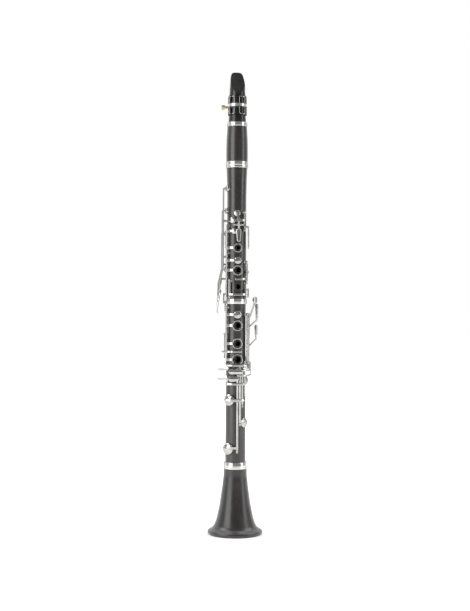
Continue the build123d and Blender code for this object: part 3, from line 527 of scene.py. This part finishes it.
# ---------------------------------------------------------------- Reed
# A blade of cane tied flat on the table at the back: bark left on the heel, then scraped
# down in a long slope to a thin tip. The fibres run along it.
cane, cane_shader = new_material("scraped_cane")
cane_tree = cane.node_tree
cane_place = cane_tree.nodes.new("ShaderNodeTexCoord")
cane_fibre_map = add_node(cane_tree, "ShaderNodeMapping")
cane_fibre_map.inputs["Scale"].default_value = (1.0, 1.0, 0.02)
cane_fibres = add_node(cane_tree, "ShaderNodeTexNoise", scale=2600.0, detail=3.0)
cane_tree.links.new(cane_place.outputs["Object"], cane_fibre_map.inputs["Vector"])
cane_tree.links.new(cane_fibre_map.outputs["Vector"], cane_fibres.inputs["Vector"])
cane_colour = ramp(cane_tree, cane_fibres.outputs["Fac"],
                   [(0.3, (0.50, 0.33, 0.12)), (0.55, (0.74, 0.56, 0.28)), (0.8, (0.84, 0.70, 0.42))])
cane_bump = add_node(cane_tree, "ShaderNodeBump", strength=0.4, distance=0.0001)
cane_tree.links.new(cane_fibres.outputs["Fac"], cane_bump.inputs["Height"])
cane_tree.links.new(cane_colour, cane_shader.inputs["Base Color"])
cane_tree.links.new(cane_bump.outputs["Normal"], cane_shader.inputs["Normal"])
cane_rough = ramp(cane_tree, cane_fibres.outputs["Fac"],
                  [(0.2, (0.42, 0.42, 0.42)), (0.8, (0.62, 0.62, 0.62))])
cane_tree.links.new(cane_rough, cane_shader.inputs["Roughness"])
softened("reed", "reed_blade", cane, "head", 0.22, 2, 0.6)


# ---------------------------------------------------------------- Ligature
# A band of thin sheet, black lacquered, with tall windows whose cut edges shine, a bare metal
# tension strip round it, and two lugs at the back drawn together by a knurled cross screw.
lacquer, lacquer_shader = new_material("ligature_lacquer")
lacquer_tree = lacquer.node_tree
lacquer_place = lacquer_tree.nodes.new("ShaderNodeTexCoord")
lacquer_wear = add_node(lacquer_tree, "ShaderNodeTexNoise", scale=240.0, detail=6.0)
lacquer_tree.links.new(lacquer_place.outputs["Object"], lacquer_wear.inputs["Vector"])
strip_height = lacquer_tree.nodes.new("ShaderNodeSeparateXYZ")
lacquer_tree.links.new(lacquer_place.outputs["Object"], strip_height.inputs["Vector"])
ligature_low, ligature_high = (corner.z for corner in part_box("ligature_band"))
strip_low, strip_high = ligature_low + 12.3 * MM, ligature_low + 16.3 * MM
strip_mask = add_node(lacquer_tree, "ShaderNodeMath", operation="COMPARE")
strip_mask.inputs[1].default_value = (strip_low + strip_high) / 2
strip_mask.inputs[2].default_value = (strip_high - strip_low) / 2 + 0.0001
lacquer_tree.links.new(strip_height.outputs["Z"], strip_mask.inputs[0])
worn = ramp(lacquer_tree, lacquer_wear.outputs["Fac"], [(0.66, (0, 0, 0)), (0.74, (1, 1, 1))])
bare = add_node(lacquer_tree, "ShaderNodeMath", operation="MAXIMUM")
lacquer_tree.links.new(worn, bare.inputs[0])
lacquer_tree.links.new(strip_mask.outputs["Value"], bare.inputs[1])
lacquer_colour = ramp(lacquer_tree, bare.outputs["Value"],
                      [(0.0, (0.010, 0.010, 0.011)), (1.0, (0.80, 0.79, 0.76))])
lacquer_rough = ramp(lacquer_tree, bare.outputs["Value"],
                     [(0.0, (0.16, 0.16, 0.16)), (1.0, (0.26, 0.26, 0.26))])
lacquer_tree.links.new(lacquer_colour, lacquer_shader.inputs["Base Color"])
lacquer_tree.links.new(bare.outputs["Value"], lacquer_shader.inputs["Metallic"])
lacquer_tree.links.new(lacquer_rough, lacquer_shader.inputs["Roughness"])
carry("ligature_band", lacquer)


def sheet_rims(name, radius_low, radius_high, low, high, middles, half, wire, material, body):
    """Bright cut edges round the windows of a tapering band, laid on its outside as closed loops of wire."""
    lines = bpy.data.curves.new(name, "CURVE")
    lines.dimensions = "3D"
    lines.bevel_depth = wire
    lines.bevel_resolution = 2
    corner = 1.6 * MM
    for middle in middles:
        loop = []
        for cx, cz, start in ((half - corner, high - corner, 0.0), (-half + corner, high - corner, pi / 2),
                              (-half + corner, low + corner, pi), (half - corner, low + corner, 3 * pi / 2)):
            loop += [(cx + corner * cos(start + a), cz + corner * sin(start + a))
                     for a in (0, pi / 6, pi / 3, pi / 2)]
        spline = lines.splines.new("POLY")
        spline.points.add(len(loop) - 1)
        spline.use_cyclic_u = True
        for point, (across, z) in zip(spline.points, loop):
            r = radius_low + (radius_high - radius_low) * (z - low) / (high - low)
            turn = middle + across / r
            point.co = (r * sin(turn), -r * cos(turn), z, 1.0)
    rims = bpy.data.objects.new(name, lines)
    bpy.context.scene.collection.objects.link(rims)
    bpy.context.view_layer.update()
    solid = bpy.data.meshes.new_from_object(rims.evaluated_get(bpy.context.evaluated_depsgraph_get()))
    bpy.data.objects.remove(rims)
    made = bpy.data.objects.new(name, solid)
    bpy.context.scene.collection.objects.link(made)
    solid.materials.clear()
    solid.materials.append(material)
    for face in solid.polygons:
        face.use_smooth = True
    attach(made, body)


screw_silver = dressed("plated_screw", handled_silver, {
    "Bright": (0.80, 0.74, 0.60, 1), "Dull": (0.50, 0.42, 0.28, 1), "Smooth": 0.16, "Rough": 0.34},
    0.05, metallic=1.0)
carry("ligature_screw", screw_silver)
rim_inset, window_half, rim_wire = 1.4 * MM, 4.6 * MM, 0.3 * MM
sheet_rims("ligature_rims", 13.86 * MM, 13.34 * MM, ligature_low + rim_inset, ligature_high - rim_inset,
           [radians(a) for a in (-120, -48, 24, 96)], window_half, rim_wire, ring_silver, "head")


def geometry_tree(name, numbers):
    """Empty Geometry Nodes tree with named numbers, and its input and output nodes."""
    tree = bpy.data.node_groups.new(name, "GeometryNodeTree")
    tree.interface.new_socket("Geometry", in_out="INPUT", socket_type="NodeSocketGeometry")
    for label, kind, value in numbers:
        tree.interface.new_socket(label, in_out="INPUT", socket_type=kind).default_value = value
    tree.interface.new_socket("Material", in_out="INPUT", socket_type="NodeSocketMaterial")
    tree.interface.new_socket("Geometry", in_out="OUTPUT", socket_type="NodeSocketGeometry")
    return tree, tree.nodes.new("NodeGroupInput"), tree.nodes.new("NodeGroupOutput")


def finish_tree(tree, take, give, source):
    """Real meshes and the material at the end of a tree."""
    real = tree.nodes.new("GeometryNodeRealizeInstances")
    painted = tree.nodes.new("GeometryNodeSetMaterial")
    tree.links.new(source, real.inputs["Geometry"])
    tree.links.new(real.outputs["Geometry"], painted.inputs["Geometry"])
    tree.links.new(take.outputs["Material"], painted.inputs["Material"])
    tree.links.new(painted.outputs["Geometry"], give.inputs["Geometry"])


def grown(name, base, tree, values, material, body):
    """Run a tree on a mesh of points, keep the plain result and let it ride."""
    bpy.context.scene.collection.objects.link(base)
    base.name = name
    modifier = base.modifiers.new("grow", "NODES")
    modifier.node_group = tree
    sockets = {item.name: item.identifier for item in tree.interface.items_tree if item.in_out == "INPUT"}
    for label, value in values.items():
        modifier[sockets[label]] = value
    modifier[sockets["Material"]] = material
    apply_all(base)
    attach(base, body)
    return base


def knurl_tree():
    """Fine ridges round a wheel: thin bars set on a ring of points, lying along X."""
    tree, take, give = geometry_tree("screw_knurl", [
        ("Ridges", "NodeSocketInt", 36), ("Radius", "NodeSocketFloat", 0.0044),
        ("Length", "NodeSocketFloat", 0.004), ("Thick", "NodeSocketFloat", 0.0004)])
    links = tree.links
    wheel = tree.nodes.new("GeometryNodeMeshCircle")
    links.new(take.outputs["Ridges"], wheel.inputs["Vertices"])
    links.new(take.outputs["Radius"], wheel.inputs["Radius"])
    ridge = tree.nodes.new("GeometryNodeMeshCylinder")
    ridge.inputs["Vertices"].default_value = 6
    links.new(take.outputs["Thick"], ridge.inputs["Radius"])
    links.new(take.outputs["Length"], ridge.inputs["Depth"])
    spread = tree.nodes.new("GeometryNodeInstanceOnPoints")
    links.new(wheel.outputs["Mesh"], spread.inputs["Points"])
    links.new(ridge.outputs["Mesh"], spread.inputs["Instance"])
    laid = tree.nodes.new("GeometryNodeTransform")
    laid.inputs["Rotation"].default_value = (0.0, pi / 2, 0.0)
    links.new(spread.outputs["Instances"], laid.inputs["Geometry"])
    finish_tree(tree, take, give, laid.outputs["Geometry"])
    return tree


screw_low, screw_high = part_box("ligature_screw")
knurl_mesh = bpy.data.meshes.new("knurl_seed")
knurls = grown("screw_knurls", bpy.data.objects.new("knurl_seed", knurl_mesh), knurl_tree(),
               {"Ridges": 34, "Radius": 0.00425, "Length": 0.0038, "Thick": 0.0003}, screw_silver,
               "ligature_screw")
knurls.data.transform(Matrix.Translation((screw_low.x + 2.3 * MM, (screw_low.y + screw_high.y) / 2,
                                          (screw_low.z + screw_high.z) / 2)))


# ---------------------------------------------------------------- Posts, rods and springs
# Ball headed posts screwed into the wood carry the hinge rods. Each post has a turned collar
# at its foot, each rod shows a slotted head, and a fine wire spring lies under most tubes.
def islands(node):
    """Separate shells of a CAD node, each as a list of points."""
    bm = bmesh.new()
    bm.from_mesh(frame["nodes"][node].data)
    bmesh.ops.remove_doubles(bm, verts=bm.verts, dist=weld)
    seen, found = set(), []
    for start in bm.verts:
        if start in seen:
            continue
        shell, stack = [], [start]
        seen.add(start)
        while stack:
            at = stack.pop()
            shell.append(at.co.copy())
            for edge in at.link_edges:
                other = edge.other_vert(at)
                if other not in seen:
                    seen.add(other)
                    stack.append(other)
        found.append(shell)
    bm.free()
    return found


def point_mesh(name, places):
    """Points that carry the direction in which a part grows from each."""
    data = bpy.data.meshes.new(name)
    data.from_pydata([place for place, _ in places], [], [])
    facing = data.attributes.new("facing", "FLOAT_VECTOR", "POINT")
    for i, (_, direction) in enumerate(places):
        facing.data[i].vector = direction
    return bpy.data.objects.new(name, data)


def aligned_tree(name, numbers, build):
    """Copies of one small turned part, stood on points along each point's direction."""
    tree, take, give = geometry_tree(name, numbers)
    links = tree.links
    facing = tree.nodes.new("GeometryNodeInputNamedAttribute")
    facing.data_type = "FLOAT_VECTOR"
    facing.inputs["Name"].default_value = "facing"
    turn = tree.nodes.new("FunctionNodeAlignRotationToVector")
    turn.axis = "Z"
    links.new(facing.outputs["Attribute"], turn.inputs["Vector"])
    spread = tree.nodes.new("GeometryNodeInstanceOnPoints")
    links.new(take.outputs["Geometry"], spread.inputs["Points"])
    links.new(build(tree, take), spread.inputs["Instance"])
    links.new(turn.outputs["Rotation"], spread.inputs["Rotation"])
    finish_tree(tree, take, give, spread.outputs["Instances"])
    return tree


def collar_part(tree, take):
    """Low turned cone with flat facets."""
    cone = tree.nodes.new("GeometryNodeMeshCone")
    cone.inputs["Vertices"].default_value = 24
    tree.links.new(take.outputs["Foot"], cone.inputs["Radius Bottom"])
    tree.links.new(take.outputs["Neck"], cone.inputs["Radius Top"])
    tree.links.new(take.outputs["Height"], cone.inputs["Depth"])
    smooth = tree.nodes.new("GeometryNodeSetShadeSmooth")
    smooth.inputs["Shade Smooth"].default_value = False
    tree.links.new(cone.outputs["Mesh"], smooth.inputs["Geometry"])
    return smooth.outputs["Geometry"]


def slotted_part(tree, take):
    """Small round screw head with a slot cut across it."""
    head = tree.nodes.new("GeometryNodeMeshCylinder")
    head.inputs["Vertices"].default_value = 20
    tree.links.new(take.outputs["Radius"], head.inputs["Radius"])
    tree.links.new(take.outputs["Thick"], head.inputs["Depth"])
    slot = tree.nodes.new("GeometryNodeMeshCube")
    tree.links.new(take.outputs["Slot"], slot.inputs["Size"])
    raised = tree.nodes.new("GeometryNodeTransform")
    tree.links.new(slot.outputs["Mesh"], raised.inputs["Geometry"])
    lift = tree.nodes.new("ShaderNodeCombineXYZ")
    tree.links.new(take.outputs["Thick"], lift.inputs["Z"])
    tree.links.new(lift.outputs["Vector"], raised.inputs["Translation"])
    cut = tree.nodes.new("GeometryNodeMeshBoolean")
    cut.operation = "DIFFERENCE"
    tree.links.new(head.outputs["Mesh"], cut.inputs["Mesh 1"])
    tree.links.new(raised.outputs["Geometry"], cut.inputs["Mesh 2"])
    return cut.outputs["Mesh"]


# The keys, posts, collars and thumb rest take a darker copy of the rings' silver (0.60 against 0.86): painted
# shade that stands in for the grey reflections on their faces.
key_silver = dressed("key_silver", handled_silver, {
    "Bright": (0.60, 0.595, 0.58, 1), "Dull": (0.44, 0.43, 0.41, 1), "Smooth": 0.07, "Rough": 0.17},
    0.03, metallic=1.0, edge=0.3)
steel = dressed("rod_steel", handled_silver, {
    "Bright": (0.62, 0.62, 0.63, 1), "Dull": (0.34, 0.34, 0.36, 1), "Clouds": 300.0, "Smooth": 0.16,
    "Rough": 0.34}, 0.05, metallic=1.0)
spring_steel = dressed("blued_wire", handled_silver, {
    "Bright": (0.16, 0.20, 0.33, 1), "Dull": (0.07, 0.08, 0.13, 1), "Clouds": 400.0, "Smooth": 0.2,
    "Rough": 0.35}, 0.05, metallic=1.0)
foot_slice, collar_lift_mm, end_slice = 0.3 * MM, 2.15, 0.9 * MM
feet = []
for node in ("upper_posts", "lower_posts"):
    softened(node, node.replace("posts", "ball_posts"), key_silver, "body", 0.16, 1, 0.35)
    for shell in islands(node):
        outer = max(shell, key=lambda p: hypot(p.x, p.y))
        inner = min(shell, key=lambda p: hypot(p.x, p.y))
        near = [p for p in shell if hypot(p.x, p.y) < hypot(inner.x, inner.y) + foot_slice]
        foot = sum(near, Vector()) / len(near)
        out = Vector((outer.x - foot.x, outer.y - foot.y, 0.0)).normalized()
        feet.append((foot + out * collar_lift_mm * MM, out))
collar_tree = aligned_tree("post_collar", [
    ("Foot", "NodeSocketFloat", 0.0019), ("Neck", "NodeSocketFloat", 0.0013),
    ("Height", "NodeSocketFloat", 0.0011)], collar_part)
grown("post_collars", point_mesh("collar_points", feet), collar_tree,
      {"Foot": 0.00195, "Neck": 0.0013, "Height": 0.0011}, key_silver, "body")
carry("hinge_rods", steel)
carry("needle_springs", spring_steel)
heads = []
for shell in islands("hinge_rods"):
    lows = [min(p[k] for p in shell) for k in range(3)]
    highs = [max(p[k] for p in shell) for k in range(3)]
    along = max(range(3), key=lambda k: highs[k] - lows[k])
    centre = sum(shell, Vector()) / len(shell)
    for level in (lows[along], highs[along]):
        near = [p for p in shell if abs(p[along] - level) < end_slice]
        end = sum(near, Vector()) / len(near)
        heads.append((end, (end - centre).normalized()))
head_tree = aligned_tree("slotted_head", [
    ("Radius", "NodeSocketFloat", 0.0012), ("Thick", "NodeSocketFloat", 0.0005),
    ("Slot", "NodeSocketVector", (0.004, 0.0004, 0.0006))], slotted_part)
grown("rod_heads", point_mesh("head_points", heads), head_tree,
      {"Radius": 0.00125, "Thick": 0.0005, "Slot": (0.004, 0.00035, 0.0006)}, steel, "body")


# ---------------------------------------------------------------- Keys
# Forged and silver plated keys on their hinge tubes: finger rings, pad cups, curved arms, lugs
# and touches. Files and buffing wheels leave no hard edge, so softened copies stand for them.
def crowned(piece, centre_mm, angle, length, width, thick, upright):
    """Dome the outer face of a finger touch, as a file and buff leave it."""
    crown, droop, least, above_mm = 0.85, 0.2, 0.12, 0.6
    turn = radians(angle)
    out, across = Vector((sin(turn), -cos(turn), 0.0)), Vector((cos(turn), sin(turn), 0.0))
    centre = Vector(centre_mm) * MM
    half_long, half_wide = length * MM / 2, width * MM / 2
    for vertex in piece.data.vertices:
        away = vertex.co - centre
        rise, u, v = away.dot(out), away.z, away.dot(across)
        if not upright:
            u, v = v, u
        if rise < 0.0001 or rise > (thick + above_mm) * MM:
            continue
        if abs(u) > half_long * 1.04 or abs(v) > half_wide * 1.06:
            continue
        keep = 1.0 - crown * min(v / half_wide, 1.0) ** 2 - droop * min(u / half_long, 1.0) ** 4
        vertex.co -= out * rise * (1.0 - max(keep, least))


def domed(piece, pad_points):
    """Raise the back of a pad cup to a low dome that meets its boss, over the disc of its pad."""
    centre = sum(pad_points, Vector()) / len(pad_points)
    spread = Matrix.Diagonal((0.0, 0.0, 0.0))
    for point in pad_points:
        d = (point - centre) * 1000.0
        for i in range(3):
            for j in range(3):
                spread[i][j] += d[i] * d[j]
    facing = Vector((centre.x, centre.y, 0.0)).normalized()
    solve = (spread + Matrix.Identity(3) * 1e-6).inverted_safe()
    for _ in range(40):
        facing = (solve @ facing).normalized()
    if facing.dot(Vector((centre.x, centre.y, 0.0))) < 0.0:
        facing.negate()
    radius = max(((p - centre) - facing * (p - centre).dot(facing)).length for p in pad_points)
    half_pad = max((p - centre).dot(facing) for p in pad_points)
    local = []
    for vertex in piece.data.vertices:
        d = vertex.co - centre
        rise = d.dot(facing)
        local.append((rise, (d - facing * rise).length, vertex.normal.dot(facing)))
    back = sorted(w for w, out, up in local
                  if 0.6 * radius < out < 0.9 * radius and up > 0.8 and w > half_pad)
    boss = [w for w, out, up in local
            if out < 0.3 * radius and half_pad < w < 12 * MM and up > 0.3]
    if not back or not boss:
        return
    lip, fullest = 0.3 * MM, 0.34
    base, reach = back[len(back) // 2], radius + lip
    height = min(fullest * radius, max(boss) - base)
    for vertex, (rise, out, up) in zip(piece.data.vertices, local):
        if out < reach and up > 0.2 and base - lip < rise:
            vertex.co += facing * max(0.0, base + height * (1.0 - (out / reach) ** 2) - rise)


touches = {
    "e_b_key": ((-6.6, -21.4, 227.0), -6, 15.5, 8.6, 1.8, False),
    "f_sharp_c_sharp_key": ((-3.6, -21.6, 237.3), -4, 20.5, 7.6, 1.8, False),
    "f_c_key": ((-21.9, -11.5, 229.6), -35, 18.2, 10.0, 1.8, False),
    "a_flat_e_flat_key": ((-20.8, -12.3, 242.6), -35, 19.6, 8.6, 1.8, False),
    "left_f_c_lever": ((25.6, -11.4, 341.0), 36, 10.5, 10.0, 1.6, True),
    "left_f_sharp_lever": ((28.6, -9.6, 323.0), 24, 26.0, 5.6, 1.6, True),
    "left_e_b_lever": ((28.6, -4.6, 294.0), 28, 23.0, 5.8, 1.6, True),
    "a_key": ((0, -19.9, 434.8), 0, 19.5, 7.6, 1.6, True),
    "g_sharp_key": ((16.06, -6.16, 431.0), 69, 31.0, 6.4, 1.6, True),
    "c_sharp_g_sharp_key": ((14.33, -12.02, 351.4), 50, 13.5, 9.0, 1.8, True),
    "register_key": ((0.0, 20.3, 448.0), 180, 17.0, 9.0, 1.6, True),
}
side_reach, side_twist = 26.8, 28
for name, lane, z in (("side_4_key", -71, 352.5), ("side_3_key", -82, 343.7), ("side_2_key", -93, 334.9),
                      ("side_1_key", -105, 326.2)):
    place = (side_reach * sin(radians(lane)), -side_reach * cos(radians(lane)), z)
    touches[name] = (place, lane + side_twist, 8.4, 4.8, 1.6, True)
for body in frame["record"]["behaviour"]["bodies"]:
    if body.endswith(("_key", "_lever")):
        forging = softened(body, f"{body}_forging", key_silver, body, 0.26, 3, 0.5)
        if body in touches:
            crowned(forging, *touches[body])
        pad_node = body.replace("_key", "_pad")
        if pad_node in frame["nodes"]:
            domed(forging, islands(pad_node)[0])


# ---------------------------------------------------------------- Pads
# Felt discs covered in thin pale skin and glued in the cups. The skin is drawn round the felt,
# so the edges are soft; they are too thin to sag, and softened copies stand for them.
pad_skin, pad_shader = new_material("pad_skin")
pad_tree = pad_skin.node_tree
pad_place = pad_tree.nodes.new("ShaderNodeTexCoord")
pad_noise = add_node(pad_tree, "ShaderNodeTexNoise", scale=500.0, detail=6.0)
pad_tree.links.new(pad_place.outputs["Object"], pad_noise.inputs["Vector"])
pad_colour = ramp(pad_tree, pad_noise.outputs["Fac"], [(0.3, (0.62, 0.52, 0.36)), (0.7, (0.84, 0.78, 0.66))])
pad_rough = ramp(pad_tree, pad_noise.outputs["Fac"], [(0.3, (0.35, 0.35, 0.35)), (0.7, (0.6, 0.6, 0.6))])
pad_tree.links.new(pad_colour, pad_shader.inputs["Base Color"])
pad_tree.links.new(pad_rough, pad_shader.inputs["Roughness"])
pad_bump = add_node(pad_tree, "ShaderNodeBump", strength=0.3, distance=0.0001)
pad_tree.links.new(pad_noise.outputs["Fac"], pad_bump.inputs["Height"])
pad_tree.links.new(pad_bump.outputs["Normal"], pad_shader.inputs["Normal"])
for body, members in frame["record"]["behaviour"]["bodies"].items():
    for node in members:
        if node.endswith("_pad"):
            softened(node, f"{node}_felt", pad_skin, body, 0.22, 5, 0.5)


# ---------------------------------------------------------------- Thumb rest and set-in tubes
# The hooked rest for the right thumb is screwed to the back of the lower joint; the thumb
# bush and the register tube are short metal tubes driven into the wood.
softened("thumb_rest", "thumb_hook", key_silver, "body", 0.3, 4, 0.6)
carry("thumb_rest_screws", steel)
for node in ("thumb_bush", "register_tube"):
    carry(node, ring_silver)
